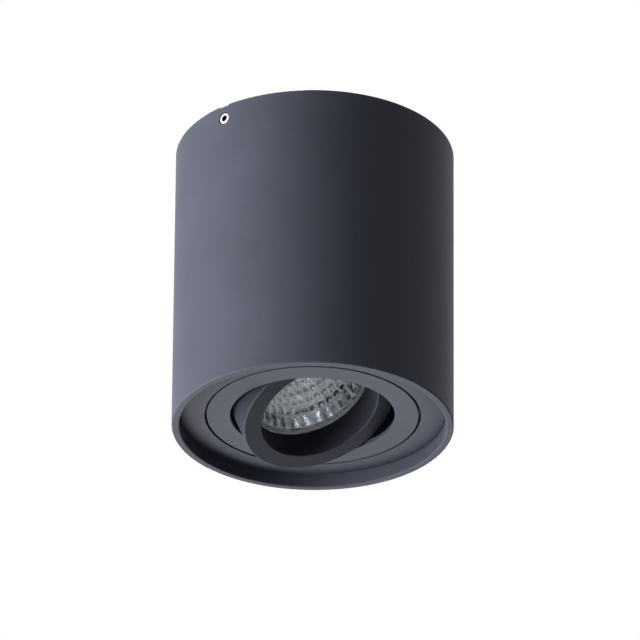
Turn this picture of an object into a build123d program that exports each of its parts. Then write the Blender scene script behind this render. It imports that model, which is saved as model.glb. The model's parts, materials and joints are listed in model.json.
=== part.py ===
from build123d import *
import os
from math import cos, radians, sin, sqrt, tan

# Surface mounted ceiling spotlight with one turning and tilting reflector lamp.
# Millimetres, +Z up. The origin is the centre of the plane where the light meets the ceiling,
# so the whole light hangs below Z = 0. The two side screws lie on the X axis.
# The radii are worked out from the lamp outwards, so the tube is as wide as what it holds.

# ---- tube ----
tube_height = 120.0
mouth_wall = 3.0  # wall left around the wider mouth at the bottom
mouth_depth = 9.6  # from the bottom edge up to the shoulder that the trim ring seats on
mouth_shoulder_width = 1.0
rim_round = 0.5
top_notch_width = 4.9
top_notch_depth = 0.7

# ---- side screws ----
side_screw_r = 2.45
side_screw_length = 7.0
side_screw_drop = 5.7  # from the ceiling to the screw's axis
side_screw_inset = 0.35  # how far its face lies inside the tube's surface
side_screw_chamfer = 0.35
side_socket_af = 2.5
side_socket_depth = 3.0
side_hole_clearance = 0.2

# ---- ceiling bracket ----
bracket_thickness = 2.0
bracket_disc_r = 40.0
ear_width = 18.0
ear_below_screw = 5.7  # from the side screw's axis down to the ear's end
ear_clearance = 0.3  # between an ear's corners and the tube
ear_bend_r = 1.5
slot_width = 4.5
slot_length = 10.0
slot_spacing = 62.0
cable_hole_r = 9.0
cable_hole_y = 18.0

# ---- cable bush ----
bush_wall = 2.45
bush_fit = 0.05
bush_flange_width = 2.0
bush_flange_thickness = 1.5
bush_below_ceiling = 0.2

# ---- terminal block ----
pole_pitch = 9.0
pole_count = 3
block_end_wall = 5.0
block_depth = 17.0
block_height = 12.0
block_y = -24.0
block_corner = 0.8
pole_drop = 5.2  # from the block's top to the axis of its poles
insert_r = 2.3
insert_bore_r = 1.4
insert_inset = 1.0  # how far each end of an insert lies inside the block
clamp_screw_r = 1.45
clamp_screw_spacing = 9.0
clamp_well_clearance = 0.45
clamp_screw_sunk = 1.5
clamp_slot_width = 0.6
clamp_slot_depth = 0.6
fixing_screw_r = 1.45
fixing_head_r = 2.75
fixing_head_height = 1.8

# ---- earth connection ----
earth_screw_r = 1.95
earth_head_r = 3.8
earth_head_height = 2.6
earth_y = 4.0
earth_washer_r = 4.0
earth_washer_thickness = 0.8
tag_r = 4.2
tag_thickness = 0.8
tag_barrel_r = 1.9
tag_barrel_length = 6.0
tag_barrel_gap = 0.3  # between the screw's head and the barrel
tag_neck_width = 2.6
earth_lead_r = 1.1

# ---- swivel plate, its line around it, and the trim ring ----
recess_depth = 5.0  # from the tube's bottom edge up to the swivel plate's face
plate_face_width = 9.25
plate_thickness = 1.5
plate_wall = 1.5
plate_gap = 0.9  # black line between the plate and the trim ring
plate_flange_width = 3.4
plate_flange_thickness = 1.2
plate_play = 0.05
plate_edge_round = 0.3
trim_width = 9.45
trim_gap = 0.3  # between the trim ring and the mouth's wall
trim_fall = 0.7  # how much deeper the trim ring lies at the wall than at its inner edge
trim_lip_thickness = 3.2
trim_pocket_clearance = 0.5  # around the plate's flange

# ---- retaining ring ----
retainer_thickness = 1.2
retainer_overhang = 2.4  # over the trim ring's pocket
retainer_wall_gap = 0.4  # to the tube
retainer_screw_r = 1.2
retainer_head_r = 2.1
retainer_head_height = 1.5
retainer_screw_reach = 2.4  # below the retaining ring, into the trim ring
retainer_screw_azimuths = (90, 210, 330)
stop_width = 3.4
stop_length = 2.0
stop_gap = 0.3
stop_azimuth = 60.0

# ---- leaf springs ----
leaf_thickness = 0.4
leaf_width = 8.0
leaf_rise = 13.0
leaf_touch_low = 5.5  # the leaf lies along the tube between these two heights
leaf_touch_high = 7.5
leaf_foot_lean = 2.2  # how far its foot ends before the tube
leaf_top_lean = 3.0
leaf_foot_inset = 0.8  # from the retaining ring's inner edge
leaf_wall_gap = 0.05
leaf_rivet_x = 3.0  # from the foot's inner end to the rivet
leaf_azimuths = (30, 150, 270)
rivet_r = 1.0
rivet_head_r = 1.8
rivet_head_height = 0.7

# ---- pivot brackets ----
swivel_set = 4.1  # turn of the lamp about Z in this pose, in degrees
pivot_height = 8.1  # from the lamp ring's face up to the tilt axis
pivot_ear_gap = 1.2  # between the lamp ring and an ear
pivot_ear_thickness = 1.5
pivot_ear_width = 10.0
pivot_ear_above_axis = 4.5
pivot_ear_round = 4.0
pivot_foot_gap = 0.28  # between a foot's corners and the swivel plate's wall
rivet_skin = 0.5  # left of the swivel plate in front of a rivet
pivot_fit = 0.05
pivot_r = 2.0
pivot_thread_r = 1.45
pivot_thread_length = 4.5
pivot_head_r = 3.5
pivot_head_height = 1.8
pivot_slot_width = 1.2
pivot_slot_depth = 0.4
washer_r = 4.5
washer_play = 0.1

# ---- lamp, with the standard 50 mm face and 10 mm pin spacing ----
lamp_r = 25.0
lamp_rim_height = 3.2
lamp_rim_wall = 0.7
lamp_glass_thickness = 1.45
lamp_mouth_inset = 3.0  # from the lamp's rim in to the mirror's edge
lamp_mouth_depth = 2.0
lamp_vertex_depth = 29.5  # of the mirror's parabola
lamp_shoulder_inset = 1.6
lamp_bulge = 1.6  # how far the back stands out of a straight cone
lamp_neck_r = 11.5
lamp_neck_start = 28.5
lamp_neck_length = 3.0
capsule_r = 4.4
capsule_wall = 0.8
capsule_hole_clearance = 0.8
capsule_tip_depth = 9.0
capsule_seal_length = 8.8
filament_r = 0.5
filament_length = 5.0
filament_leg_length = 3.0
lamp_base_r = 9.8
lamp_base_length = 16.5
lamp_base_skirt = 3.0
lamp_base_taper = 2.0
pin_spacing = 10.0
pin_neck_r = 1.5
pin_neck_length = 4.0
pin_head_r = 2.5
pin_head_length = 3.0
clip_wire_r = 0.6
clip_opening = 50.0  # degrees left open
clip_groove_clearance = 0.15

# ---- lamp ring ----
tilt_set = 25.0  # tilt away from straight down in this pose, in degrees
ring_lip = 1.0  # how far the ring covers the lamp's face
ring_face_width = 7.1
ring_face_fall = 0.4  # how far the face's outer edge lies behind its inner edge
ring_edge_round = 0.35
ring_plate_gap = 1.0  # between the ring and the swivel plate's hole
ring_side_height = 16.1
ring_collar_wall = 2.9
ring_collar_height = 6.0
ring_shoulder_height = 1.5
lamp_setback = 12.0  # from the ring's face to the lamp's face
lamp_bore_clearance = 0.4

# ---- lampholder and its strap ----
holder_r = 13.0
holder_height = 20.0
holder_edge = 0.8
holder_slot_clearance = 0.3
holder_twist = 30.0  # degrees that the lamp turns to lock
contact_inner_x = 0.35
contact_beyond_pin = 1.95
contact_width = 4.0
contact_height = 4.5
strap_thickness = 1.2
strap_width = 10.0
strap_beyond_holder = 2.5
strap_foot_gap = 0.3  # between the strap's ends and the lamp ring's shoulder
strap_screw_r = 1.45
strap_head_r = 2.4
strap_head_height = 1.6
holder_screw_spacing = 19.0
holder_screw_reach = 6.0

# ---- leads ----
lead_r = 0.9
lead_spacing = 2.0
sleeve_bore_r = 2.05
sleeve_r = 2.5
sleeve_hole_clearance = 0.5
sleeve_top = 20.0  # below the ceiling, on the Z axis
sleeve_low = 36.8  # where it turns outwards and up
sleeve_rise_y = 15.5
sleeve_high = 21.2
sleeve_over_y = 28.4
sleeve_over = 16.1
sleeve_last_run = 17.7  # straight into the lampholder
lead_in_insert = 4.0
live_tail_run = 5.0  # straight out of the terminal block
neutral_tail_run = 3.0
tail_drop = 5.0
tail_sag = 0.3
tail_lean = 0.35  # share of the way back to its pole where a tail turns down
earth_run_out = 2.2
earth_run_in = 1.6
bend_share = 0.45  # share of the shorter run that a bend uses up

# ---- clearances and shares that many pieces use ----
small_gap = 0.05
thread_clearance = 0.05
screw_hole_clearance = 0.15
rivet_clearance = 0.1
wire_hole_clearance = 0.15
head_round_share = 0.45  # of a screw's or rivet's head height
cross_length_share = 1.1  # of a pan head's radius
cross_width_share = 0.3
overcut = 1.0  # how far a cut runs on past a surface
both_sides = (0, 180)

# ---- radii of the lamp, its ring, the swivel plate, the trim ring and the tube ----
lamp_mouth_r = lamp_r - lamp_mouth_inset
lamp_shoulder_r = lamp_r - lamp_shoulder_inset
lamp_bore_r = lamp_r + lamp_bore_clearance
ring_bore_r = lamp_r - ring_lip
ring_r = ring_bore_r + ring_face_width
ring_collar_r = lamp_bore_r + ring_collar_wall
plate_hole_r = ring_r + ring_plate_gap
plate_r = plate_hole_r + plate_face_width
plate_flange_r = plate_r + plate_flange_width
trim_lip_r = plate_r + plate_gap
trim_pocket_r = plate_flange_r + trim_pocket_clearance
trim_r = trim_lip_r + trim_width
mouth_r = trim_r + trim_gap
tube_r = mouth_r + mouth_wall
tube_inner_r = mouth_r - mouth_shoulder_width
retainer_inner_r = trim_pocket_r - retainer_overhang
retainer_outer_r = tube_inner_r - retainer_wall_gap
retainer_screw_circle_r = (trim_pocket_r + tube_inner_r) / 2
leaf_foot_r = retainer_inner_r + leaf_foot_inset
leaf_rivet_circle_r = leaf_foot_r + leaf_rivet_x

# ---- other sizes that follow from the ones above ----
bottom_z = -tube_height
shoulder_z = bottom_z + mouth_depth
side_screw_z = -side_screw_drop
ear_x = sqrt((tube_inner_r - ear_clearance) ** 2 - (ear_width / 2) ** 2)
bracket_under_z = -bracket_thickness

bush_bore_r = cable_hole_r - bush_fit - bush_wall
pole_z = bracket_under_z - pole_drop
pole_xs = [(i - (pole_count - 1) / 2) * pole_pitch for i in range(pole_count)]
clamp_screw_ys = [block_y - clamp_screw_spacing / 2, block_y + clamp_screw_spacing / 2]
block_half_length = (pole_count - 1) * pole_pitch / 2 + block_end_wall
block_front_y = block_y + block_depth / 2
block_low_z = bracket_under_z - block_height
fixing_x = (pole_xs[-2] + pole_xs[-1]) / 2
earth_x = pole_xs[-1]
tag_z = bracket_under_z - earth_washer_thickness
tag_hole_r = earth_screw_r + screw_hole_clearance
tag_barrel_y = earth_y - earth_head_r - tag_barrel_gap
tag_barrel_z = tag_z - tag_barrel_r

plate_z = bottom_z + recess_depth
plate_rear_z = plate_z + plate_thickness
lip_rear_z = plate_z + trim_lip_thickness
plate_flange_z = lip_rear_z + plate_play
plate_flange_top_z = plate_flange_z + plate_flange_thickness
retainer_top_z = shoulder_z + retainer_thickness

pivot_z = plate_z + pivot_height
ear_inner_x = ring_r + pivot_ear_gap
ear_outer_x = ear_inner_x + pivot_ear_thickness
foot_top_z = plate_rear_z + pivot_ear_thickness
foot_corner_r = plate_r - plate_wall - pivot_foot_gap
foot_end_x = sqrt(foot_corner_r**2 - (pivot_ear_width / 2) ** 2)
foot_rivet_circle_r = (ear_outer_x + foot_end_x) / 2

# heights along the lamp, measured from the tilt axis
ring_face_z = -pivot_height
glass_z = ring_face_z + lamp_setback
ring_side_z = ring_face_z + ring_side_height
ring_shoulder_z = ring_side_z + ring_shoulder_height
ring_rear_z = ring_shoulder_z + ring_collar_height
lamp_neck_end = lamp_neck_start + lamp_neck_length
lamp_base_end = lamp_neck_end + lamp_base_length
holder_z = glass_z + lamp_base_end
holder_rear_z = holder_z + holder_height
pin_end_z = holder_z + pin_neck_length + pin_head_length
contact_z = pin_end_z + small_gap
contact_top_z = contact_z + contact_height
strap_x = ring_collar_r + small_gap
strap_screw_z = ring_rear_z - ring_collar_height / 2
mirror_curve = lamp_mouth_r**2 / (lamp_vertex_depth - lamp_mouth_depth)
capsule_hole_r = capsule_r + capsule_hole_clearance


# ---- helpers ----
def turned(*edges):
    """A solid turned about Z from a closed outline of (radius, height) edges."""
    return revolve(Plane.XZ * make_face(edges), Axis.Z)


def turned_outline(*points):
    """A solid turned about Z from the corners of its outline."""
    return turned(*Polyline(*points, close=True).edges())


def ring(inner, outer, low, high):
    """A plain ring, or a disc where the inner radius is 0, between two heights."""
    return turned_outline((inner, low), (outer, low), (outer, high), (inner, high))


def rod(radius, start, end):
    """A round bar from one point to another."""
    run = Vector(*end) - Vector(*start)
    return extrude(Plane(origin=start, z_dir=run) * Circle(radius), run.length)


def post(radius, x, y, low, high):
    """A round bar along Z."""
    return rod(radius, (x, y, low), (x, y, high))


def side_rod(radius, side, start_x, end_x, z):
    """A round bar along X on the given side, +1 or -1."""
    return rod(radius, (side * start_x, 0, z), (side * end_x, 0, z))


def block(x0, x1, y0, y1, z0, z1):
    """A box between two corners."""
    centre = Pos((x0 + x1) / 2, (y0 + y1) / 2, (z0 + z1) / 2)
    return centre * Box(abs(x1 - x0), abs(y1 - y0), abs(z1 - z0))


def bar(x0, x1, width, z0, z1):
    """A box between two places along X, centred on the X axis."""
    return block(x0, x1, -width / 2, width / 2, z0, z1)


def edges_at(piece, z):
    """The edges that lie in a level plane."""
    band = 0.01
    return piece.edges().filter_by_position(Axis.Z, z - band, z + band)


def placed(location, piece):
    """A piece at its place; in a group, each solid is moved by itself."""
    solids = [location * solid for solid in piece.solids()]
    return solids[0] if len(solids) == 1 else Compound(children=solids)


def around(piece, azimuths):
    """Copies of a piece turned about Z, as one group of separate solids."""
    return Compound(children=[Rot(0, 0, azimuth) * piece for azimuth in azimuths])


def on_swivel(piece):
    """From the swivel's own frame, where the tilt axis is parallel to X, to its place."""
    return placed(Rot(0, 0, swivel_set), piece)


def on_gimbal(piece):
    """From the lamp's own frame, with the tilt axis on X and the lamp's axis on Z, to its place."""
    return placed(Rot(0, 0, swivel_set) * Pos(0, 0, pivot_z) * Rot(-tilt_set, 0, 0), piece)


def strip(points, thickness, width):
    """A bent metal strip along a line of (x, z) points, with its thickness to the line's left."""
    line = [Vector(x, z) for x, z in points]
    runs = [(after - before).normalized() for before, after in zip(line, line[1:])]
    sides = [Vector(-run.Y, run.X) for run in runs]
    offsets = [sides[0]]
    for one, two in zip(sides, sides[1:]):
        offsets.append((one + two) / (1 + one.dot(two)))
    offsets.append(sides[-1])
    far_line = [point + offset * thickness for point, offset in zip(line, offsets)]
    outline = make_face(Polyline(*line, *reversed(far_line), close=True))
    return extrude(Plane.XZ * outline, width / 2, both=True)


def pan_screw(shank_r, shank_length, head_r, head_height):
    """A cross-slot pan-head screw pointing down from Z = 0, with its head above."""
    head = ring(0, head_r, 0, head_height)
    head = fillet(edges_at(head, head_height), head_height * head_round_share)
    length = head_r * cross_length_share
    width = head_r * cross_width_share
    cross = Box(length, width, head_height) + Box(width, length, head_height)
    return head + ring(0, shank_r, -shank_length, 0) - Pos(0, 0, head_height) * cross


def hanging_screw(x, y, head_z, shank_r, head_r, head_height):
    """A pan-head screw that points up, from its head's seat to just below the ceiling."""
    screw = pan_screw(shank_r, -head_z - small_gap, head_r, head_height)
    return Pos(x, y, head_z) * Rot(180, 0, 0) * screw


def rivet(low, seat):
    """A rivet on Z whose head sits at the height seat."""
    top = seat + rivet_head_height
    piece = ring(0, rivet_r, low, seat) + ring(0, rivet_head_r, seat, top)
    return fillet(edges_at(piece, top), rivet_head_height * head_round_share)


def bend_radii(points):
    """Each bend as large as its two runs allow."""
    radii = []
    for before, corner, after in zip(points, points[1:], points[2:]):
        run_in = corner - before
        run_out = after - corner
        half_turn = radians(run_in.get_angle(run_out)) / 2
        radii.append(bend_share * min(run_in.length, run_out.length) / tan(half_turn))
    return radii


def lead(name, points, section):
    """A wire or sleeve of one section along straight runs joined by arcs."""
    points = [Vector(*point) for point in points]
    radii = bend_radii(points)
    path = FilletPolyline(*points, radius=radii)
    solid = sweep(Plane(origin=path @ 0, z_dir=path % 0) * section, path=path)
    drift = solid.volume / (section.area * path.length) - 1
    print(f"{name}: {path.length:.1f} mm, bends {[round(r, 1) for r in radii]}, volume off {drift:+.4%}")
    return solid


# ---- fixed pieces ----
def body_tube():
    tube = turned_outline(
        (tube_inner_r, 0),
        (tube_r, 0),
        (tube_r, bottom_z),
        (mouth_r, bottom_z),
        (mouth_r, shoulder_z),
        (tube_inner_r, shoulder_z),
    )
    tube = fillet(edges_at(tube, bottom_z) + edges_at(tube, 0), rim_round)
    outside_x = tube_r + overcut
    for side in (-1, 1):
        tube -= side_rod(side_screw_r + side_hole_clearance, side, ear_x, outside_x, side_screw_z)
        tube -= bar(side * ear_x, side * outside_x, top_notch_width, -top_notch_depth, overcut)
    return tube


def side_screws():
    face_x = tube_r - side_screw_inset
    screw = side_rod(side_screw_r, 1, face_x - side_screw_length, face_x, side_screw_z)
    screw = chamfer(screw.edges().filter_by(GeomType.CIRCLE), side_screw_chamfer)
    socket_plane = Plane(origin=(face_x, 0, side_screw_z), z_dir=(-1, 0, 0))
    socket = socket_plane * RegularPolygon(side_socket_af / 2, 6, major_radius=False)
    return around(screw - extrude(socket, side_socket_depth), both_sides)


def ceiling_bracket():
    bracket = ring(0, bracket_disc_r, bracket_under_z, 0)
    bracket += bar(-ear_x, ear_x, ear_width, bracket_under_z, 0)
    ear_low_z = side_screw_z - ear_below_screw
    for side in (-1, 1):
        bracket += bar(side * ear_x, side * (ear_x - bracket_thickness), ear_width, ear_low_z, 0)
    bracket = fillet(edges_at(bracket, 0).filter_by(Axis.Y), ear_bend_r)
    slot = extrude(SlotOverall(slot_length, slot_width), bracket_thickness + overcut, both=True)
    for side in (-1, 1):
        bracket -= side_rod(side_screw_r + thread_clearance, side, bracket_disc_r, tube_r, side_screw_z)
        bracket -= Pos(side * slot_spacing / 2, 0, 0) * slot
    low = bracket_under_z - overcut
    bracket -= post(cable_hole_r, 0, cable_hole_y, low, overcut)
    bracket -= post(fixing_screw_r + thread_clearance, fixing_x, block_y, low, overcut)
    bracket -= post(earth_screw_r + thread_clearance, earth_x, earth_y, low, overcut)
    return bracket


def cable_bush():
    flange_low = bracket_under_z - bush_flange_thickness
    bush = ring(bush_bore_r, cable_hole_r + bush_flange_width, flange_low, bracket_under_z)
    bush += ring(bush_bore_r, cable_hole_r - bush_fit, flange_low, -bush_below_ceiling)
    return Pos(0, cable_hole_y, 0) * bush


def terminal_block():
    block_rear_y = block_y - block_depth / 2
    half = block_half_length
    body = block(-half, half, block_rear_y, block_front_y, block_low_z, bracket_under_z)
    body = chamfer(body.edges().filter_by(Axis.Z), block_corner)
    low = block_low_z - overcut
    for x in pole_xs:
        rear = (x, block_rear_y - overcut, pole_z)
        body -= rod(insert_r + small_gap, rear, (x, block_front_y + overcut, pole_z))
        for y in clamp_screw_ys:
            body -= post(clamp_screw_r + clamp_well_clearance, x, y, low, pole_z)
    body -= post(fixing_screw_r + screw_hole_clearance, fixing_x, block_y, low, 0)
    head_seat_z = block_low_z + fixing_head_height
    body -= post(fixing_head_r + screw_hole_clearance, fixing_x, block_y, low, head_seat_z)
    return body


def terminal_inserts():
    inserts = []
    half_insert = block_depth / 2 - insert_inset
    for x in pole_xs:
        start = (x, block_y - half_insert, pole_z)
        end = (x, block_y + half_insert, pole_z)
        insert = rod(insert_r, start, end) - rod(insert_bore_r, start, end)
        for y in clamp_screw_ys:
            insert -= post(clamp_screw_r + thread_clearance, x, y, pole_z - 2 * insert_r, pole_z)
        inserts.append(insert)
    return Compound(children=inserts)


def terminal_screws():
    screw_low = block_low_z + clamp_screw_sunk
    slot = Box(3 * clamp_screw_r, clamp_slot_width, 2 * clamp_slot_depth)
    screw = ring(0, clamp_screw_r, screw_low, pole_z - insert_bore_r) - Pos(0, 0, screw_low) * slot
    return Compound(children=[Pos(x, y, 0) * screw for x in pole_xs for y in clamp_screw_ys])


def terminal_fixing_screw():
    head_z = block_low_z + fixing_head_height
    return hanging_screw(fixing_x, block_y, head_z, fixing_screw_r, fixing_head_r, fixing_head_height)


def earth_washer():
    return Pos(earth_x, earth_y, 0) * ring(tag_hole_r, earth_washer_r, tag_z, bracket_under_z)


def earth_tag():
    low = tag_z - tag_thickness
    eye = Pos(earth_x, earth_y, 0) * ring(tag_hole_r, tag_r, low, tag_z)
    barrel_end_y = tag_barrel_y - tag_barrel_length
    start = (earth_x, tag_barrel_y, tag_barrel_z)
    barrel = rod(tag_barrel_r, start, (earth_x, barrel_end_y, tag_barrel_z))
    half_neck = tag_neck_width / 2
    neck_end_y = earth_y - (tag_hole_r + tag_r) / 2
    neck_start_y = tag_barrel_y - tag_barrel_r
    neck = block(earth_x - half_neck, earth_x + half_neck, neck_start_y, neck_end_y, low, tag_z)
    wire_start = (earth_x, tag_barrel_y + overcut, tag_barrel_z)
    wire_end = (earth_x, barrel_end_y - overcut, tag_barrel_z)
    return eye + neck + barrel - rod(earth_lead_r + small_gap, wire_start, wire_end)


def earth_screw():
    head_z = tag_z - tag_thickness
    return hanging_screw(earth_x, earth_y, head_z, earth_screw_r, earth_head_r, earth_head_height)


def earth_lead():
    barrel_mouth_y = tag_barrel_y - tag_barrel_length
    route = [
        (earth_x, block_front_y - lead_in_insert, pole_z),
        (earth_x, block_front_y + earth_run_out, pole_z),
        (earth_x, barrel_mouth_y - earth_run_in, tag_barrel_z),
        (earth_x, tag_barrel_y - overcut, tag_barrel_z),
    ]
    return lead("earth_lead", route, Circle(earth_lead_r))


def lead_tails():
    """The live and neutral wires, from the terminal block to the sleeve's top on the Z axis."""
    turn = radians(swivel_set)
    tails = []
    for side, x, run in ((-1, pole_xs[0], live_tail_run), (1, pole_xs[1], neutral_tail_run)):
        end_x = side * lead_spacing / 2 * cos(turn)
        end_y = side * lead_spacing / 2 * sin(turn)
        route = [
            (x, block_front_y - lead_in_insert, pole_z),
            (x, block_front_y + run, pole_z),
            (end_x + tail_lean * (x - end_x), end_y - tail_drop, pole_z - tail_sag),
            (end_x, end_y, pole_z - tail_drop),
            (end_x, end_y, -sleeve_top),
        ]
        tails.append(lead("lead_tail", route, Circle(lead_r)))
    return Compound(children=tails)


def trim_ring():
    lip_front = (trim_lip_r, plate_z)
    wall_front = (trim_r, plate_z + trim_fall)
    crown = TangentArc(lip_front, wall_front, tangent=(1, 0))
    back = Polyline(
        wall_front,
        (trim_r, shoulder_z),
        (trim_pocket_r, shoulder_z),
        (trim_pocket_r, lip_rear_z),
        (trim_lip_r, lip_rear_z),
        lip_front,
    )
    trim = turned(crown.edge(), *back.edges())
    hole_low = shoulder_z - retainer_screw_reach - small_gap
    hole = post(retainer_screw_r + thread_clearance, retainer_screw_circle_r, 0, hole_low, 0)
    for azimuth in retainer_screw_azimuths:
        trim -= Rot(0, 0, azimuth) * hole
    return trim


def retaining_ring():
    retainer = ring(retainer_inner_r, retainer_outer_r, shoulder_z, retainer_top_z)
    stop_start = retainer_inner_r - stop_length
    stop = bar(stop_start, retainer_inner_r + overcut, stop_width, shoulder_z, retainer_top_z)
    retainer += Rot(0, 0, stop_azimuth) * stop
    low = shoulder_z - overcut
    screw_hole = post(retainer_screw_r + screw_hole_clearance, retainer_screw_circle_r, 0, low, 0)
    for azimuth in retainer_screw_azimuths:
        retainer -= Rot(0, 0, azimuth) * screw_hole
    rivet_hole = post(rivet_r + rivet_clearance, leaf_rivet_circle_r, 0, low, 0)
    for azimuth in leaf_azimuths:
        retainer -= Rot(0, 0, azimuth) * rivet_hole
    return retainer


def retaining_screws():
    shank = retainer_thickness + retainer_screw_reach
    screw = pan_screw(retainer_screw_r, shank, retainer_head_r, retainer_head_height)
    return around(Pos(retainer_screw_circle_r, 0, retainer_top_z) * screw, retainer_screw_azimuths)


def leaf_springs():
    touch_r = tube_inner_r - leaf_wall_gap
    touch_x = sqrt(touch_r**2 - (leaf_width / 2) ** 2) - leaf_thickness
    foot_top = retainer_top_z + leaf_thickness
    outline = [
        (touch_x + leaf_thickness - leaf_top_lean, retainer_top_z + leaf_rise),
        (touch_x, retainer_top_z + leaf_touch_high),
        (touch_x, retainer_top_z + leaf_touch_low),
        (touch_x + leaf_thickness - leaf_foot_lean, foot_top),
        (leaf_foot_r, foot_top),
    ]
    leaf = strip(outline, leaf_thickness, leaf_width)
    hole = post(rivet_r + rivet_clearance, leaf_rivet_circle_r, 0, shoulder_z, foot_top + overcut)
    return around(leaf - hole, leaf_azimuths)


def leaf_rivets():
    piece = rivet(shoulder_z + small_gap, retainer_top_z + leaf_thickness)
    return around(Pos(leaf_rivet_circle_r, 0, 0) * piece, leaf_azimuths)


# ---- pieces that turn with the swivel plate ----
def swivel_plate():
    wall_inner_r = plate_r - plate_wall
    plate = turned_outline(
        (plate_hole_r, plate_z),
        (plate_r, plate_z),
        (plate_r, plate_flange_z),
        (plate_flange_r, plate_flange_z),
        (plate_flange_r, plate_flange_top_z),
        (wall_inner_r, plate_flange_top_z),
        (wall_inner_r, plate_rear_z),
        (plate_hole_r, plate_rear_z),
    )
    plate = fillet(edges_at(plate, plate_z), plate_edge_round)
    lug_start = retainer_inner_r - stop_length
    lug_end = retainer_inner_r - stop_gap
    lug = bar(lug_start, lug_end, stop_width, plate_flange_z, retainer_top_z)
    plate += Rot(0, 0, stop_azimuth + 180 - swivel_set) * lug
    skin_z = plate_z + rivet_skin
    for side in (-1, 1):
        x = side * foot_rivet_circle_r
        plate -= post(rivet_r + rivet_clearance, x, 0, skin_z, foot_top_z)
    return on_swivel(plate)


def pivot_brackets():
    ear_top_z = pivot_z + pivot_ear_above_axis
    ear = bar(ear_inner_x, ear_outer_x, pivot_ear_width, plate_rear_z, ear_top_z)
    ear = fillet(edges_at(ear, ear_top_z).filter_by(Axis.X), pivot_ear_round)
    bracket = ear + bar(ear_inner_x, foot_end_x, pivot_ear_width, plate_rear_z, foot_top_z)
    bracket -= side_rod(pivot_r + pivot_fit, 1, ring_r, foot_end_x, pivot_z)
    bracket -= post(rivet_r + rivet_clearance, foot_rivet_circle_r, 0, plate_z, foot_top_z + overcut)
    return on_swivel(around(bracket, both_sides))


def bracket_rivets():
    piece = rivet(plate_z + rivet_skin + rivet_clearance, foot_top_z)
    return on_swivel(around(Pos(foot_rivet_circle_r, 0, 0) * piece, both_sides))


def lead_route():
    """The sleeve's route as (y, z) in the swivel's frame, from the Z axis to the lampholder's rear."""
    tilt = radians(tilt_set)
    rear = (sin(tilt) * holder_rear_z, pivot_z + cos(tilt) * holder_rear_z)
    return [
        (0, -sleeve_top),
        (0, -sleeve_low),
        (sleeve_rise_y, -sleeve_low),
        (sleeve_rise_y, -sleeve_high),
        (sleeve_over_y, -sleeve_over),
        (rear[0] + sin(tilt) * sleeve_last_run, rear[1] + cos(tilt) * sleeve_last_run),
        rear,
    ]


def longer_route(extra):
    """The same route with its last run made longer, into the lampholder, or shorter."""
    route = [Vector(0, y, z) for y, z in lead_route()]
    last_run = (route[-1] - route[-2]).normalized()
    return route[:-1] + [route[-1] + last_run * extra]


def lamp_lead_sleeve():
    section = Circle(sleeve_r) - Circle(sleeve_bore_r)
    return on_swivel(lead("lamp_lead_sleeve", longer_route(-small_gap), section))


def lamp_leads():
    route = longer_route(holder_rear_z - contact_top_z - small_gap)
    wires = []
    for side in (-1, 1):
        beside = Vector(side * lead_spacing / 2, 0, 0)
        wires.append(lead("lamp_lead", [point + beside for point in route], Circle(lead_r)))
    return on_swivel(Compound(children=wires))


# ---- pieces that tilt with the lamp ----
def gimbal_ring():
    groove_r = lamp_r + clip_wire_r + clip_groove_clearance
    groove_low = glass_z + lamp_rim_height
    groove_high = groove_low + 2 * (clip_wire_r + small_gap)
    body = turned_outline(
        (ring_bore_r, ring_face_z),
        (ring_r, ring_face_z + ring_face_fall),
        (ring_r, ring_side_z),
        (ring_collar_r, ring_shoulder_z),
        (ring_collar_r, ring_rear_z),
        (lamp_bore_r, ring_rear_z),
        (lamp_bore_r, groove_high),
        (groove_r, groove_high),
        (groove_r, groove_low),
        (lamp_bore_r, groove_low),
        (lamp_bore_r, glass_z),
        (ring_bore_r, glass_z),
    )
    front_edges = edges_at(body, ring_face_z) + edges_at(body, ring_face_z + ring_face_fall)
    body = fillet(front_edges, ring_edge_round)
    thread_bottom_x = ring_r - pivot_thread_length - small_gap
    outside_x = ring_r + overcut
    for side in (-1, 1):
        body -= side_rod(pivot_thread_r + thread_clearance, side, thread_bottom_x, outside_x, 0)
        body -= side_rod(strap_screw_r + thread_clearance, side, lamp_r, outside_x, strap_screw_z)
    return on_gimbal(body)


def pivot_screws():
    head_x = ear_outer_x + small_gap
    head_end_x = head_x + pivot_head_height
    screw = side_rod(pivot_thread_r, 1, ring_r - pivot_thread_length, head_x, 0)
    screw += side_rod(pivot_r, 1, ring_r + small_gap, head_x, 0)
    head = side_rod(pivot_head_r, 1, head_x, head_end_x, 0)
    head_edge = head.edges().filter_by(GeomType.CIRCLE).sort_by(Axis.X)[-1]
    head = fillet(head_edge, pivot_head_height * head_round_share)
    slot = Box(2 * pivot_slot_depth, 3 * pivot_head_r, pivot_slot_width)
    return on_gimbal(around(screw + head - Pos(head_end_x, 0, 0) * slot, both_sides))


def friction_washers():
    start_x = ring_r + washer_play
    end_x = ear_inner_x - washer_play
    washer = side_rod(washer_r, 1, start_x, end_x, 0)
    washer -= side_rod(pivot_r + small_gap, 1, ring_r, ear_inner_x, 0)
    return on_gimbal(around(washer, both_sides))


def lamp_clip():
    wire_z = glass_z + lamp_rim_height + clip_wire_r + small_gap
    clip = revolve(Plane.XZ * Pos(lamp_r, wire_z) * Circle(clip_wire_r), Axis.Z, 360 - clip_opening)
    return on_gimbal(Rot(0, 0, 90 + clip_opening / 2) * clip)


def mirror_point(radius):
    """A point of the mirror's parabola, as (radius, depth behind the lamp's face)."""
    return (radius, lamp_vertex_depth - radius**2 / mirror_curve)


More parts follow.
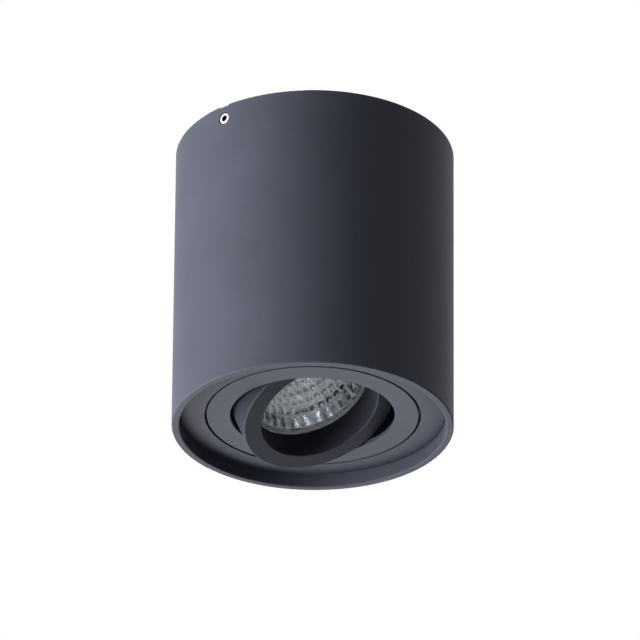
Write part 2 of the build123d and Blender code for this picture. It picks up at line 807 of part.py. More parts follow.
def lamp_reflector():
    mouth = mirror_point(lamp_mouth_r)
    hole = mirror_point(capsule_hole_r)
    inside = ThreePointArc(hole, mirror_point((capsule_hole_r + 2 * lamp_mouth_r) / 3), mouth)
    glass_seat_r = lamp_r - lamp_rim_wall
    shoulder = (lamp_shoulder_r, lamp_rim_height)
    rim = Polyline(
        mouth,
        (glass_seat_r, lamp_mouth_depth),
        (glass_seat_r, 0),
        (lamp_r, 0),
        (lamp_r, lamp_rim_height),
        shoulder,
    )
    neck_start = (lamp_neck_r, lamp_neck_start)
    bulge_r = (lamp_shoulder_r + lamp_neck_r) / 2 + lamp_bulge
    bulge = (bulge_r, (lamp_rim_height + lamp_neck_start) / 2)
    outside = ThreePointArc(shoulder, bulge, neck_start)
    neck = Polyline(neck_start, (lamp_neck_r, lamp_neck_end), (capsule_hole_r, lamp_neck_end), hole)
    shell = turned(inside.edge(), *rim.edges(), outside.edge(), *neck.edges())
    return on_gimbal(Pos(0, 0, glass_z) * shell)


def lamp_front_glass():
    rear_depth = lamp_mouth_depth - small_gap
    glass_r = lamp_r - lamp_rim_wall - small_gap
    return on_gimbal(Pos(0, 0, glass_z) * ring(0, glass_r, rear_depth - lamp_glass_thickness, rear_depth))


def capsule_shape(radius, end):
    """A round-ended bar around the capsule's axis."""
    centre_depth = capsule_tip_depth + capsule_r
    return ring(0, radius, centre_depth, end) + Pos(0, 0, centre_depth) * Sphere(radius)


def lamp_capsule():
    end = lamp_neck_end - small_gap
    cavity = capsule_shape(capsule_r - capsule_wall, end - capsule_seal_length)
    return on_gimbal(Pos(0, 0, glass_z) * (capsule_shape(capsule_r, end) - cavity))


def lamp_filament():
    start = lamp_neck_end - small_gap - capsule_seal_length - small_gap
    coil_start = start - filament_leg_length
    leg = ring(0, filament_r / 2, coil_start, start)
    coil = ring(0, filament_r, coil_start - filament_length, coil_start)
    return on_gimbal(Pos(0, 0, glass_z) * (leg + coil))


def lamp_base():
    skirt_end = lamp_neck_end + lamp_base_skirt
    base = turned_outline(
        (0, lamp_neck_end),
        (lamp_neck_r, lamp_neck_end),
        (lamp_neck_r, skirt_end),
        (lamp_base_r, skirt_end + lamp_base_taper),
        (lamp_base_r, lamp_base_end),
        (0, lamp_base_end),
    )
    return on_gimbal(Pos(0, 0, glass_z) * base)


def lamp_pins():
    neck_end = holder_z + pin_neck_length
    pin = post(pin_neck_r, pin_spacing / 2, 0, holder_z, neck_end)
    pin += post(pin_head_r, pin_spacing / 2, 0, neck_end, pin_end_z)
    return on_gimbal(around(pin, both_sides))


def lampholder():
    body = ring(0, holder_r, holder_z, holder_rear_z)
    body = chamfer(body.edges().filter_by(GeomType.CIRCLE), holder_edge)
    pin_r = pin_spacing / 2
    swing = CenterArc((0, 0), pin_r, 0, holder_twist)
    neck_slot = SlotArc(swing, 2 * (pin_neck_r + holder_slot_clearance))
    chamber = SlotArc(swing, 2 * (pin_head_r + holder_slot_clearance))
    twist = radians(holder_twist)
    entry = Pos(pin_r * cos(twist), pin_r * sin(twist)) * Circle(pin_head_r + holder_slot_clearance)
    chamber_z = holder_z + pin_neck_length - small_gap
    pocket_top = contact_top_z + small_gap
    pocket_end_x = pin_r + contact_beyond_pin + small_gap
    cut = extrude(Pos(0, 0, holder_z) * (neck_slot + entry), chamber_z - holder_z)
    cut += extrude(Pos(0, 0, chamber_z) * chamber, contact_z - chamber_z)
    pocket_width = contact_width + 2 * small_gap
    cut += bar(contact_inner_x - small_gap, pocket_end_x, pocket_width, pin_end_z, pocket_top)
    cut += post(lead_r + wire_hole_clearance, lead_spacing / 2, 0, contact_z, holder_rear_z + overcut)
    for turn in both_sides:
        body -= Rot(0, 0, turn) * cut
    screw_low = holder_rear_z - holder_screw_reach - small_gap
    for side in (-1, 1):
        x = side * holder_screw_spacing / 2
        body -= post(strap_screw_r + thread_clearance, x, 0, screw_low, holder_rear_z + overcut)
    return on_gimbal(body)


def lampholder_contacts():
    end_x = pin_spacing / 2 + contact_beyond_pin
    return on_gimbal(around(bar(contact_inner_x, end_x, contact_width, contact_z, contact_top_z), both_sides))


def lampholder_strap():
    leg = [
        (holder_r + strap_beyond_holder, holder_rear_z),
        (strap_x, glass_z + lamp_neck_start),
        (strap_x, ring_shoulder_z + strap_foot_gap),
    ]
    outline = [(-x, z) for x, z in reversed(leg)] + leg
    strap = strip(outline, strap_thickness, strap_width)
    above_z = holder_rear_z + strap_thickness + overcut
    strap -= post(sleeve_r + sleeve_hole_clearance, 0, 0, holder_rear_z - overcut, above_z)
    hole_r = strap_screw_r + screw_hole_clearance
    for side in (-1, 1):
        strap -= post(hole_r, side * holder_screw_spacing / 2, 0, holder_rear_z - overcut, above_z)
        strap -= side_rod(hole_r, side, ring_bore_r, strap_x + strap_thickness + overcut, strap_screw_z)
    return on_gimbal(strap)


def holder_screws():
    screw = pan_screw(strap_screw_r, strap_thickness + holder_screw_reach, strap_head_r, strap_head_height)
    screw = Pos(holder_screw_spacing / 2, 0, holder_rear_z + strap_thickness) * screw
    return on_gimbal(around(screw, both_sides))


def strap_screws():
    head_x = strap_x + strap_thickness
    screw = pan_screw(strap_screw_r, head_x - lamp_bore_r, strap_head_r, strap_head_height)
    return on_gimbal(around(Pos(head_x, 0, strap_screw_z) * Rot(0, 90, 0) * screw, both_sides))


pieces = [
    body_tube,
    side_screws,
    ceiling_bracket,
    cable_bush,
    terminal_block,
    terminal_inserts,
    terminal_screws,
    terminal_fixing_screw,
    earth_washer,
    earth_tag,
    earth_screw,
    earth_lead,
    lead_tails,
    trim_ring,
    retaining_ring,
    retaining_screws,
    leaf_springs,
    leaf_rivets,
    swivel_plate,
    pivot_brackets,
    bracket_rivets,
    lamp_lead_sleeve,
    lamp_leads,
    gimbal_ring,
    pivot_screws,
    friction_washers,
    lamp_clip,
    lamp_reflector,
    lamp_front_glass,
    lamp_capsule,
    lamp_filament,
    lamp_base,
    lamp_pins,
    lampholder,
    lampholder_contacts,
    lampholder_strap,
    holder_screws,
    strap_screws,
]

os.makedirs("parts", exist_ok=True)
for piece in pieces:
    export_step(piece(), f"parts/{piece.__name__}.step")
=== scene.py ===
import json
from math import cos, pi, radians, sin, sqrt

import bmesh
import bpy
from mathutils import Matrix, Quaternion, Vector


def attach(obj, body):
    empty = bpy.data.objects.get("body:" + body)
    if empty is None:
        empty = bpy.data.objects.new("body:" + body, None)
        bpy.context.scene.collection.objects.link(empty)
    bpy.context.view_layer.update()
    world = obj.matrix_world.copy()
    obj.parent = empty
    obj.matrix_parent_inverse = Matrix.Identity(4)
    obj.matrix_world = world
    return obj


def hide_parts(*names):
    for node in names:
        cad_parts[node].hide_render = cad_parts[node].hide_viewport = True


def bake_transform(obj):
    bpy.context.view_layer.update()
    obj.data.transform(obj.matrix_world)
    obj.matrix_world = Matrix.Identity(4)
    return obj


# Surface mounted ceiling spotlight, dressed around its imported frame.
# Metres, +Z up, the ceiling at Z = 0. MM turns sizes written in millimetres into metres.

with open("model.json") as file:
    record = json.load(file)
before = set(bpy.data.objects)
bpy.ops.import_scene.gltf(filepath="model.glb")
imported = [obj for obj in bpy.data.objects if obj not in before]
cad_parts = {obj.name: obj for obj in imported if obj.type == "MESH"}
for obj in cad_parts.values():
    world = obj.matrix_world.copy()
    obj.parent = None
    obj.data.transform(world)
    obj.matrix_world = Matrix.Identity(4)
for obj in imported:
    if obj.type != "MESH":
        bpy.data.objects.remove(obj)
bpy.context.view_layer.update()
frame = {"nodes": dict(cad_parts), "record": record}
nodes = frame["nodes"]

MM = 0.001
WELD_GAP = 0.001 * MM  # points nearer than this become one

# ---- the tilting lamp's own frame: its axis on Z, its tilt axis on X ----
SWIVEL_SET = radians(4.1)
TILT_SET = radians(25)
PIVOT_Z = -106.9 * MM
SWIVEL_FRAME = Matrix.Rotation(SWIVEL_SET, 4, "Z")
LAMP_FRAME = (
    SWIVEL_FRAME
    @ Matrix.Translation((0, 0, PIVOT_Z))
    @ Matrix.Rotation(-TILT_SET, 4, "X")
)
GLASS_Z = 3.9 * MM  # from the tilt axis to the lamp's face, along the lamp's axis

# ---- the lamp's glass reflector: radii, and depths behind the lamp's face ----
LAMP_R = 25 * MM
RIM_WALL = 0.7 * MM
RIM_HEIGHT = 3.2 * MM
SHOULDER_R = 23.4 * MM
MIRROR_MOUTH_R = 22 * MM
MIRROR_MOUTH_DEPTH = 2 * MM
MIRROR_VERTEX_DEPTH = 29.5 * MM
MIRROR_CURVE = MIRROR_MOUTH_R**2 / (MIRROR_VERTEX_DEPTH - MIRROR_MOUTH_DEPTH)
CAPSULE_HOLE_R = 5.2 * MM
NECK_R = 11.5 * MM
NECK_START = 28.5 * MM
NECK_END = 31.5 * MM
BACK_BULGE = 1.6 * MM  # how far the back stands out of a straight cone
BACK_STEPS = 8
FACETS_AROUND = 34
FACET_ROWS = 7
FLUTE_HEIGHT = 5.2 * MM  # the row of facets nearest the mouth is taller
FACET_BULGE = 0.36 * MM
QUADS_PER_FACET = 4
SHARP_ANGLE = radians(9)  # edges that bend more than this stay sharp

# ---- the lamp's leads: points as (y, z) in the swivel's frame, in millimetres ----
LEAD_ROUTE = (
    (0, -20),
    (0, -36.8),
    (15.5, -36.8),
    (15.5, -21.2),
    (28.4, -16.1),
    (37.87, -25.70),
    (30.39, -41.74),
)
SLEEVE_R = 2.5 * MM
LEAD_R = 0.9 * MM
LEAD_SPACING = 2 * MM
LEAD_REACH = 15 * MM  # how far the leads run on into the lampholder
STEPS_PER_SPAN = 16
STEPS_ROUND_TUBE = 5

# ---- the side screws, on one axis along X ----
SIDE_SCREW_Z = -5.7 * MM
SIDE_SCREW_FACE_X = 54.65 * MM
SIDE_SOCKET_R = 1.5 * MM
SIDE_SOCKET_EDGE = 0.1 * MM  # how far in from the face the painted socket shade starts

# ---- the photograph's camera: degrees, metres and radians ----
TUBE_CENTRE = Vector((0, 0, -60 * MM))
CAMERA_AZIMUTH = -49.4
CAMERA_ELEVATION = -28.0
CAMERA_DISTANCE = 3.3
CAMERA_AIM = TUBE_CENTRE + Vector((5.729, 1.564, -9.871)) * MM
CAMERA_LENS = 472.5  # millimetres, on a sensor 36 mm wide
CAMERA_ROLL = 0.00775
CAMERA_REACH = 20

# ---- the studio: a light's name, its degrees round from the camera and up, then its
# distance, width and height in metres, and its power in watts ----
LIGHTS = (
    ("key_light", -79, -12, 1.6, 0.7, 1.4, 51),
    ("fill_light", -60, -12, 1.6, 0.7, 1.4, 20),
    ("under_light", -160, -42, 1.7, 1.4, 1.4, 23),
)
WORLD_FILL = 0.12
FLOOR_Z = -3.2
FLOOR_HALF_SIZE = 12
FLOOR_COLOUR = (0.8, 0.8, 0.8)
FLOOR_GLOW = 0.7

# ---- the sockets of a node that mixes colours ----
MIX_SHARE, MIX_FIRST, MIX_SECOND, MIX_RESULT = 0, 6, 7, 2


# ---- objects and node trees ----
def add_object(name, data):
    made = bpy.data.objects.new(name, data)
    bpy.context.scene.collection.objects.link(made)
    return made


def evaluated_mesh(thing):
    """An object's mesh as its modifiers or its curve make it."""
    graph = bpy.context.evaluated_depsgraph_get()
    return bpy.data.meshes.new_from_object(thing.evaluated_get(graph))


def add_node(tree, kind, inputs=None, **settings):
    """A new node with its settings, and with a value or a link on each named input."""
    node = tree.nodes.new(kind)
    for name, value in settings.items():
        setattr(node, name, value)
    for key, value in (inputs or {}).items():
        if isinstance(value, bpy.types.NodeSocket):
            tree.links.new(value, node.inputs[key])
        else:
            node.inputs[key].default_value = value
    return node


def calc(tree, operation, first, second=0.0):
    """The result of one sum on two numbers."""
    return add_node(tree, "ShaderNodeMath", {0: first, 1: second}, operation=operation).outputs[0]


def vector_calc(tree, operation, first, second=(0, 0, 0)):
    """The outputs of one sum on two vectors."""
    inputs = {0: first, 1: second}
    return add_node(tree, "ShaderNodeVectorMath", inputs, operation=operation).outputs


def parts_of(tree, vector):
    """A vector's X, Y and Z."""
    return add_node(tree, "ShaderNodeSeparateXYZ", {0: vector}).outputs


def seen_plainly(tree):
    """1 for what the camera sees by itself, in metal or through glass, and 0 for other light."""
    path = add_node(tree, "ShaderNodeLightPath").outputs
    seen = calc(tree, "MAXIMUM", path["Is Camera Ray"], path["Is Glossy Ray"])
    return calc(tree, "MAXIMUM", seen, path["Is Transmission Ray"])


class Finish:
    """A material being made: its tree, its shader and the coordinates of the piece it is on."""

    def __init__(self, name, **sockets):
        self.material = bpy.data.materials.new(name)
        self.material.use_nodes = True
        self.tree = self.material.node_tree
        self.shader = self.tree.nodes["Principled BSDF"]
        for socket, value in sockets.items():
            self.shader.inputs[socket.replace("_", " ")].default_value = value
        self.place = add_node(self.tree, "ShaderNodeTexCoord").outputs["Object"]

    def calc(self, operation, first, second=0.0):
        return calc(self.tree, operation, first, second)

    def noise(self, size, detail, stretch=(1, 1, 1)):
        """Noise whose lumps are about that size, in metres."""
        inputs = {"Vector": self.place, "Scale": stretch}
        scaled = add_node(self.tree, "ShaderNodeMapping", inputs).outputs[0]
        inputs = {"Vector": scaled, "Scale": 1 / size, "Detail": detail}
        return add_node(self.tree, "ShaderNodeTexNoise", inputs).outputs["Fac"]

    def spread(self, value, low, high, start=0.3, end=0.7):
        """A value between start and end, spread over low to high."""
        inputs = {"Value": value, "From Min": start, "From Max": end}
        inputs |= {"To Min": low, "To Max": high}
        return add_node(self.tree, "ShaderNodeMapRange", inputs).outputs["Result"]

    def tint(self, value, *stops):
        """A colour ramp over a value, from (place, colour) stops."""
        ramp = add_node(self.tree, "ShaderNodeValToRGB", {"Fac": value})
        elements = ramp.color_ramp.elements
        while len(elements) < len(stops):
            elements.new(0.5)
        for element, (place, colour) in zip(elements, stops):
            element.position = place
            element.color = (*colour, 1)
        return ramp.outputs["Color"]

    def clouds(self, size, dark, bright):
        """Cloudy patches of that size, between two colours."""
        patches = self.spread(self.noise(size, 3), 0, 1)
        return self.tint(patches, (0, dark), (1, bright))

    def edge(self, radius):
        """1 on an outer or inner edge, 0 away from it."""
        bevel = add_node(self.tree, "ShaderNodeBevel", {"Radius": radius}, samples=4).outputs[0]
        normal = add_node(self.tree, "ShaderNodeNewGeometry").outputs["Normal"]
        turned = vector_calc(self.tree, "DOT_PRODUCT", bevel, normal)["Value"]
        return self.spread(turned, 1, 0, 0.86, 0.99)

    def mix(self, share, first, second):
        """Two colours mixed."""
        inputs = {MIX_SHARE: share, MIX_FIRST: first, MIX_SECOND: second}
        return add_node(self.tree, "ShaderNodeMix", inputs, data_type="RGBA").outputs[MIX_RESULT]

    def set(self, socket, value):
        self.tree.links.new(value, self.shader.inputs[socket])

    def bump(self, height, depth, strength):
        """Bumps of that depth, in metres."""
        inputs = {"Height": height, "Distance": depth, "Strength": strength}
        below = self.shader.inputs["Normal"].links
        if below:
            inputs["Normal"] = below[0].from_socket
        self.set("Normal", add_node(self.tree, "ShaderNodeBump", inputs).outputs["Normal"])


def shade(colour, factor):
    return tuple(part * factor for part in colour)


# ---- finishes ----
def fine_paint(name, colour, edge_width=0.25, edge_wear_and_highlight=1.9):
    """Powder coat with a fine sand texture, thinner and worn on its edges, where a lighter colour
    also stands as a painted highlight.
    """
    paint = Finish(name, Specular_IOR_Level=0.16)
    body = paint.clouds(26 * MM, shade(colour, 0.93), shade(colour, 1.07))
    grain = paint.noise(0.42 * MM, 2)
    speck = paint.mix(paint.spread(grain, 0, 0.35, 0.55, 0.8), body, (*shade(colour, 1.5), 1))
    # the edges turn a lighter neutral colour: partly wear of the thin coat, partly a painted
    # highlight
    worn_highlit_grey = sum(colour) / 3 * edge_wear_and_highlight
    paint.set("Base Color", paint.mix(paint.edge(edge_width * MM), speck, (worn_highlit_grey, worn_highlit_grey, worn_highlit_grey, 1)))
    paint.set("Roughness", paint.spread(grain, 0.53, 0.63))
    paint.bump(grain, 0.02 * MM, 0.5)
    paint.bump(paint.noise(7 * MM, 2), 0.012 * MM, 0.4)
    return paint.material


def plated(name, colour, roughness):
    """Plated or bare metal with fine drawn lines and cloudy spots."""
    metal = Finish(name, Metallic=1.0)
    lines = metal.noise(0.5 * MM, 2, stretch=(1, 1, 8))
    metal.set("Base Color", metal.clouds(5 * MM, shade(colour, 0.88), colour))
    metal.set("Roughness", metal.spread(lines, roughness - 0.07, roughness + 0.1))
    metal.bump(lines, 0.006 * MM, 0.5)
    return metal.material


def socket_screw(name, colour, roughness):
    """A plated grub screw on the side screws' axis, with a painted shade in its socket, dark and
    dull.
    """
    metal = Finish(name)
    from_axis = vector_calc(metal.tree, "ADD", metal.place, (0, 0, -SIDE_SCREW_Z))[0]
    outwards = metal.calc("ABSOLUTE", parts_of(metal.tree, from_axis)["X"])
    across = vector_calc(metal.tree, "MULTIPLY", from_axis, (0, 1, 1))[0]
    away = vector_calc(metal.tree, "LENGTH", across)["Value"]
    near_axis = metal.calc("LESS_THAN", away, SIDE_SOCKET_R)
    below_face = metal.calc("LESS_THAN", outwards, SIDE_SCREW_FACE_X - SIDE_SOCKET_EDGE)
    painted_socket_shade = metal.calc("MULTIPLY", near_axis, below_face)
    plate = metal.clouds(5 * MM, shade(colour, 0.94), colour)
    # painted shade: the socket's walls and floor turn dark and not metallic, for the shade in the
    # hole
    metal.set("Base Color", metal.mix(painted_socket_shade, plate, (0.035, 0.033, 0.026, 1)))
    metal.set("Metallic", metal.calc("SUBTRACT", 1, painted_socket_shade))
    fine = metal.noise(0.5 * MM, 2)
    metal.set("Roughness", metal.spread(fine, roughness - 0.07, roughness + 0.1))
    return metal.material


def moulded(name, colour, roughness):
    """Moulded nylon or pressed ceramic."""
    plastic = Finish(name)
    fine = plastic.noise(0.35 * MM, 2)
    plastic.set("Base Color", plastic.clouds(6 * MM, shade(colour, 0.9), colour))
    plastic.set("Roughness", plastic.spread(fine, roughness - 0.06, roughness + 0.08))
    plastic.bump(fine, 0.012 * MM, 0.4)
    return plastic.material


def clear_glass(name):
    """Clear glass with faint ripples."""
    glass = Finish(name, Transmission_Weight=1.0, IOR=1.5, Base_Color=(0.99, 1.0, 0.99, 1))
    ripples = glass.noise(9 * MM, 1)
    glass.set("Roughness", glass.spread(ripples, 0.0, 0.02))
    glass.bump(ripples, 0.01 * MM, 0.3)
    return glass.material


def mirror_coat(name):
    """A glass reflector with a smoky mirror coat, and broken white lines between its facets as a
    painted highlight.

    Its Facet attribute holds how near a point is to its facet's sides and to its ends, and 1
    where it is silvered."""
    coat = Finish(name, Specular_IOR_Level=0.3)
    facet = add_node(coat.tree, "ShaderNodeAttribute", attribute_name="Facet").outputs["Vector"]
    facet = parts_of(coat.tree, facet)
    silvered = facet["Z"]
    sides = coat.spread(facet["X"], 0, 1, 0.76, 0.84)
    ends = coat.spread(facet["Y"], 0, 0.8, 0.82, 0.92)
    lines = coat.calc("MAXIMUM", sides, ends)
    breaks = coat.spread(coat.noise(2.6 * MM, 1), 0.4, 1, 0.38, 0.5)
    # painted highlight: the broken lines between the facets and the mouth's edge are made white
    # and dull, for the light their bevels would catch
    bright = coat.calc("MAXIMUM", coat.calc("MULTIPLY", lines, breaks), coat.edge(0.3 * MM))
    smoky = coat.tint(
        coat.spread(coat.noise(6 * MM, 1), 0, 1),
        (0.0, (0.31, 0.37, 0.37)),
        (0.4, (0.44, 0.47, 0.51)),
        (0.6, (0.66, 0.65, 0.69)),
        (1.0, (0.37, 0.41, 0.44)),
    )
    mirror = coat.mix(bright, smoky, (0.97, 0.98, 1, 1))
    coat.set("Base Color", coat.mix(silvered, (0.12, 0.135, 0.125, 1), mirror))
    coat.set("Metallic", coat.calc("MULTIPLY", silvered, coat.spread(bright, 1, 0.1, 0, 1)))
    dull = coat.calc("MAXIMUM", bright, coat.calc("SUBTRACT", 1, silvered))
    coat.set("Roughness", coat.spread(dull, 0.05, 0.4, 0, 1))
    return coat.material


ANTHRACITE = (0.05, 0.054, 0.074)
BRASS = (0.78, 0.58, 0.28)
finishes = {
    # after the colour: the edge width in millimetres, and how much lighter the edges turn, as
    # wear and as a painted highlight, strongest on the lamp ring
    "body_paint": fine_paint("body_paint", ANTHRACITE, 0.9, 1.5),
    "trim_paint": fine_paint("trim_paint", ANTHRACITE),
    "plate_paint": fine_paint("plate_paint", shade(ANTHRACITE, 1.1)),
    "ring_paint": fine_paint("ring_paint", shade(ANTHRACITE, 0.55), 0.4, 9),
    "nickel_screw": socket_screw("nickel_screw", (0.9, 0.89, 0.87), 0.3),
    "zinc_steel": plated("zinc_steel", (0.62, 0.64, 0.66), 0.36),
    "zinc_screw": plated("zinc_screw", (0.66, 0.66, 0.66), 0.3),
    "spring_steel": plated("spring_steel", (0.45, 0.45, 0.46), 0.34),
    "brass_insert": plated("brass_insert", BRASS, 0.28),
    "brass_screw": plated("brass_screw", BRASS, 0.28),
    "tinned_brass": plated("tinned_brass", (0.7, 0.7, 0.68), 0.32),
    "filament_wire": plated("filament_wire", (0.4, 0.4, 0.42), 0.4),
    "black_nylon": moulded("black_nylon", (0.022, 0.022, 0.022), 0.5),
    "block_nylon": moulded("block_nylon", (0.78, 0.78, 0.74), 0.42),
    "earth_insulation": moulded("earth_insulation", (0.22, 0.42, 0.06), 0.5),
    "lead_insulation": moulded("lead_insulation", (0.72, 0.7, 0.65), 0.55),
    "glass_fibre_sleeve": moulded("glass_fibre_sleeve", (0.78, 0.76, 0.7), 0.8),
    "lamp_ceramic": moulded("lamp_ceramic", (0.76, 0.74, 0.68), 0.6),
    "holder_ceramic": moulded("holder_ceramic", (0.82, 0.8, 0.76), 0.5),
    "lamp_glass": clear_glass("lamp_glass"),
    "lamp_mirror": mirror_coat("lamp_mirror"),
}
slot_of_node = {part["node"]: part["material_slot"] for part in frame["record"]["subparts"]}


def dress_nodes():
    """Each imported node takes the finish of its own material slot."""
    for node, slot in slot_of_node.items():
        materials = nodes[node].data.materials
        materials.clear()
        materials.append(finishes[slot])


# ---- the lamp's faceted reflector ----
def group_tree(name, sizes):
    """A Geometry Nodes tree with a profile mesh, and those named sizes, as its inputs."""
    tree = bpy.data.node_groups.new(name, "GeometryNodeTree")
    tree.interface.new_socket("Profile", in_out="INPUT", socket_type="NodeSocketGeometry")
    for size, value in sizes.items():
        kind = "NodeSocketInt" if isinstance(value, int) else "NodeSocketFloat"
        tree.interface.new_socket(size, in_out="INPUT", socket_type=kind)
    tree.interface.new_socket("Mesh", in_out="OUTPUT", socket_type="NodeSocketGeometry")
    return tree, add_node(tree, "NodeGroupInput").outputs


def faceted_turning(name, material, sizes):
    """A closed profile turned about Z, drawn inwards between its facets' edges.

    The profile's points hold a radius, how far the facets are drawn in there, from 0 to 1, and
    a height."""
    tree, given = group_tree(name, sizes)

    def math(operation, first, second=0.0):
        return calc(tree, operation, first, second)

    def change(kind, mesh, inputs, **settings):
        inputs = {"Geometry": mesh, **inputs}
        return add_node(tree, "GeometryNode" + kind, inputs, **settings).outputs[0]

    # a flat grid: one row of points for each point of the profile, one column for each step round
    around = math("MULTIPLY", given["Facets"], given["Quads per facet"])
    row_length = math("ADD", around, 1)
    inputs = {"Vertices X": given["Profile points"], "Vertices Y": row_length}
    mesh = add_node(tree, "GeometryNodeMeshGrid", inputs).outputs["Mesh"]
    index = add_node(tree, "GeometryNodeInputIndex").outputs[0]
    point = math("FLOOR", math("DIVIDE", math("ADD", index, 0.5), row_length))
    step = math("SUBTRACT", index, math("MULTIPLY", point, row_length))

    # each of its points goes to its place on the turned profile
    place = add_node(tree, "GeometryNodeInputPosition").outputs[0]
    inputs = {"Geometry": given["Profile"], "Value": place, "Index": point}
    sample = add_node(tree, "GeometryNodeSampleIndex", inputs, data_type="FLOAT_VECTOR")
    place = parts_of(tree, sample.outputs["Value"])
    across = math("FRACT", math("DIVIDE", step, given["Quads per facet"]))
    across = math("SUBTRACT", math("MULTIPLY", across, 2), 1)
    crown = math("SUBTRACT", 1, math("MULTIPLY", across, across))
    drawn = math("MULTIPLY", math("MULTIPLY", crown, place["Y"]), given["Bulge"])
    radius = math("SUBTRACT", place["X"], drawn)
    angle = math("MULTIPLY", math("DIVIDE", step, around), 2 * pi)
    x, y = (math("MULTIPLY", radius, math(turn, angle)) for turn in ("COSINE", "SINE"))
    turned = add_node(tree, "ShaderNodeCombineXYZ", {"X": x, "Y": y, "Z": place["Z"]}).outputs[0]
    mesh = change("SetPosition", mesh, {"Position": turned})

    # the mirror's mouth is the profile's first point and, because it is closed, its last
    first = math("LESS_THAN", point, 0.5)
    last = math("GREATER_THAN", point, math("SUBTRACT", given["Profile points"], 1.5))
    mouth = math("MAXIMUM", first, last)
    silvered = math("MAXIMUM", mouth, math("LESS_THAN", point, given["Mirror points"]))
    end = math("MAXIMUM", mouth, math("SQRT", math("SUBTRACT", 1, place["Y"])))
    facet = {"X": math("ABSOLUTE", across), "Y": end, "Z": silvered}
    facet = add_node(tree, "ShaderNodeCombineXYZ", facet).outputs[0]
    inputs = {"Name": "Facet", "Value": facet}
    mesh = change("StoreNamedAttribute", mesh, inputs, data_type="FLOAT_VECTOR")

    mesh = change("MergeByDistance", mesh, {"Distance": WELD_GAP})
    bend = add_node(tree, "GeometryNodeInputMeshEdgeAngle").outputs["Unsigned Angle"]
    smooth = math("LESS_THAN", bend, given["Sharp angle"])
    mesh = change("SetShadeSmooth", mesh, {"Shade Smooth": True}, domain="FACE")
    mesh = change("SetShadeSmooth", mesh, {"Shade Smooth": smooth}, domain="EDGE")
    mesh = change("RealizeInstances", mesh, {})
    mesh = change("SetMaterial", mesh, {"Material": material})
    add_node(tree, "NodeGroupOutput", {"Mesh": mesh})
    return tree


def reflector_profile():
    """The reflector's closed section as (radius, bulge, depth) points.

    The bulge is 1 at a facet's middle and 0 at its ends, and 1 at the mirror's mouth."""
    hole_depth = MIRROR_VERTEX_DEPTH - CAPSULE_HOLE_R**2 / MIRROR_CURVE
    row_height = (hole_depth - MIRROR_MOUTH_DEPTH - FLUTE_HEIGHT) / (FACET_ROWS - 1)
    points = []
    for quad in range(QUADS_PER_FACET * FACET_ROWS):
        row = quad / QUADS_PER_FACET
        depth = MIRROR_MOUTH_DEPTH + FLUTE_HEIGHT * min(row, 1) + row_height * max(row - 1, 0)
        bulge = 1 - row**2 if row < 1 else 1 - (2 * (row % 1) - 1) ** 2
        points.append((sqrt(MIRROR_CURVE * (MIRROR_VERTEX_DEPTH - depth)), bulge, depth))
    points += [(CAPSULE_HOLE_R, 0, hole_depth), (CAPSULE_HOLE_R, 0, NECK_END)]
    points += [(NECK_R, 0, NECK_END)]
    for step in range(BACK_STEPS + 1):
        share = step / BACK_STEPS
        out = BACK_BULGE * 4 * share * (1 - share)
        radius = NECK_R + (SHOULDER_R - NECK_R) * share + out
        points.append((radius, 0, NECK_START + (RIM_HEIGHT - NECK_START) * share))
    points += [(LAMP_R, 0, RIM_HEIGHT), (LAMP_R, 0, 0), (LAMP_R - RIM_WALL, 0, 0)]
    return points + [(LAMP_R - RIM_WALL, 0, MIRROR_MOUTH_DEPTH), points[0]]


def lamp_reflector():
    profile = reflector_profile()
    mesh = bpy.data.meshes.new("reflector_profile")
    mesh.from_pydata(profile, [], [])
    sizes = {
        "Profile points": len(profile),
        "Mirror points": QUADS_PER_FACET * FACET_ROWS + 1,
        "Facets": FACETS_AROUND,
        "Quads per facet": QUADS_PER_FACET,
        "Bulge": FACET_BULGE,
        "Sharp angle": SHARP_ANGLE,
    }
    piece = add_object("lamp_reflector_facets", mesh)
    tree = faceted_turning("reflector_turning", finishes["lamp_mirror"], sizes)
    modifier = piece.modifiers.new("turning", "NODES")
    modifier.node_group = tree
    for socket in tree.interface.items_tree:
        if socket.in_out == "INPUT" and socket.name in sizes:
            modifier[socket.identifier] = sizes[socket.name]
    mesh = evaluated_mesh(piece)
    piece.modifiers.clear()
    piece.data = mesh
    piece.data.transform(LAMP_FRAME @ Matrix.Translation((0, 0, GLASS_Z)))
    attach(piece, "gimbal")
    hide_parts("lamp_reflector")


# ---- the lamp's leads in their sleeve ----
def lead_tube(name, route, radius):
    """A closed mesh tube along a route."""
    curve = bpy.data.curves.new(name, "CURVE")
    curve.dimensions = "3D"
    line = curve.splines.new("NURBS")
    line.points.add(len(route) - 1)
    for point, place in zip(line.points, route):
        point.co = (*(SWIVEL_FRAME @ place), 1)
    line.order_u = 3
    line.use_endpoint_u = True
    line.resolution_u = STEPS_PER_SPAN
    curve.bevel_depth = radius
    curve.bevel_resolution = STEPS_ROUND_TUBE
    curve.use_fill_caps = True
    tube = add_object(name + "_line", curve)
    mesh = evaluated_mesh(tube)
    bpy.data.objects.remove(tube)
    weld = bmesh.new()
    weld.from_mesh(mesh)
    bmesh.ops.remove_doubles(weld, verts=weld.verts, dist=WELD_GAP)
    weld.to_mesh(mesh)
    weld.free()
    return mesh


def bending_lead(name, node, beside, reach, radius):
    """A tube on the leads' route, beside it in X."""
    route = [Vector((beside, y * MM, z * MM)) for y, z in LEAD_ROUTE]
    route[-1] += (route[-1] - route[-2]).normalized() * reach
    piece = add_object(name, lead_tube(name, route, radius))
    slot = slot_of_node[node]
    piece.data.materials.clear()
    piece.data.materials.append(finishes[slot])
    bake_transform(piece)
    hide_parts(node)


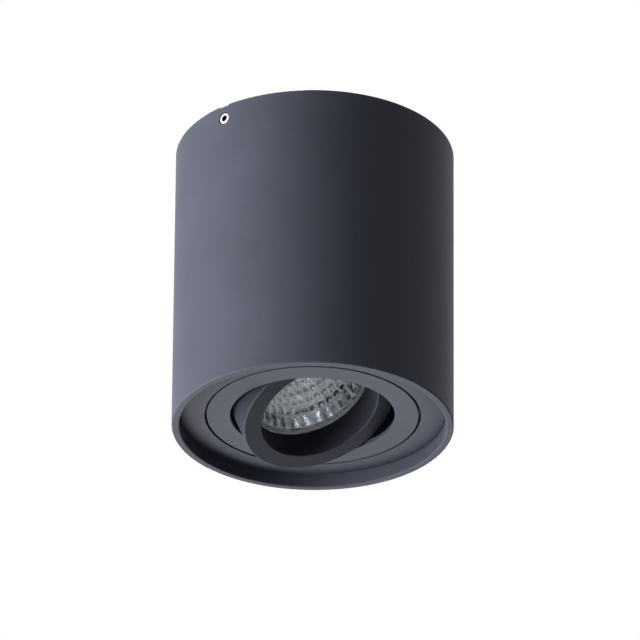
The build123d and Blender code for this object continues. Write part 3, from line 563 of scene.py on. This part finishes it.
def lamp_leads():
    bending_lead("lead_sleeve", "lamp_lead_sleeve", 0, 0, SLEEVE_R)
    for name, side in (("live_lead", -1), ("neutral_lead", 1)):
        bending_lead(name, "lamp_leads", side * LEAD_SPACING / 2, LEAD_REACH, LEAD_R)


# ---- light and camera ----
def direction(azimuth, elevation):
    """The way from the tube to a point seen at those degrees, 0 being in front of it, at -Y."""
    a, e = radians(azimuth), radians(elevation)
    return Vector((sin(a) * cos(e), -cos(a) * cos(e), sin(e)))


def soft_box(name, azimuth, elevation, distance, width, height, power):
    """A rectangular light that faces the tube's centre."""
    data = bpy.data.lights.new(name, "AREA")
    data.shape = "RECTANGLE"
    data.size = width
    data.size_y = height
    data.energy = power
    light = add_object(name, data)
    out = direction(azimuth, elevation)
    light.location = TUBE_CENTRE + out * distance
    light.rotation_mode = "QUATERNION"
    light.rotation_quaternion = out.to_track_quat("Z", "Y")


def white_world():
    """White to the camera, and in metal and glass; a soft fill for everything else."""
    world = bpy.data.worlds.new("studio")
    bpy.context.scene.world = world
    world.use_nodes = True
    tree = world.node_tree
    background = tree.nodes["Background"]
    background.inputs["Color"].default_value = (1, 1, 1, 1)
    strength = calc(tree, "MAXIMUM", seen_plainly(tree), WORLD_FILL)
    tree.links.new(strength, background.inputs["Strength"])


def pale_floor():
    """A pale floor far below the light."""
    mesh = bpy.data.meshes.new("floor")
    corners = ((-1, -1), (1, -1), (1, 1), (-1, 1))
    corners = [(x * FLOOR_HALF_SIZE, y * FLOOR_HALF_SIZE, FLOOR_Z) for x, y in corners]
    mesh.from_pydata(corners, [], [(0, 1, 2, 3)])
    floor = add_object("floor", mesh)
    colours = {"Base_Color": (*FLOOR_COLOUR, 1), "Emission_Color": (1, 1, 1, 1)}
    pale = Finish("pale_floor", Roughness=0.9, **colours)
    pale.set("Emission Strength", pale.calc("MULTIPLY", seen_plainly(pale.tree), FLOOR_GLOW))
    mesh.materials.append(pale.material)


def photo_camera():
    data = bpy.data.cameras.new("camera")
    data.lens = CAMERA_LENS
    data.clip_end = CAMERA_REACH
    camera = add_object("camera", data)
    out = direction(CAMERA_AZIMUTH, CAMERA_ELEVATION)
    camera.location = TUBE_CENTRE + out * CAMERA_DISTANCE
    aim = (CAMERA_AIM - camera.location).to_track_quat("-Z", "Y")
    camera.rotation_mode = "QUATERNION"
    camera.rotation_quaternion = aim @ Quaternion((0, 0, 1), CAMERA_ROLL)
    bpy.context.scene.camera = camera


photo_camera()
dress_nodes()
lamp_reflector()
lamp_leads()
white_world()
pale_floor()
for light_name, round_from_camera, *sizes_and_power in LIGHTS:
    soft_box(light_name, CAMERA_AZIMUTH + round_from_camera, *sizes_and_power)

bpy.context.scene.view_settings.view_transform = "Standard"
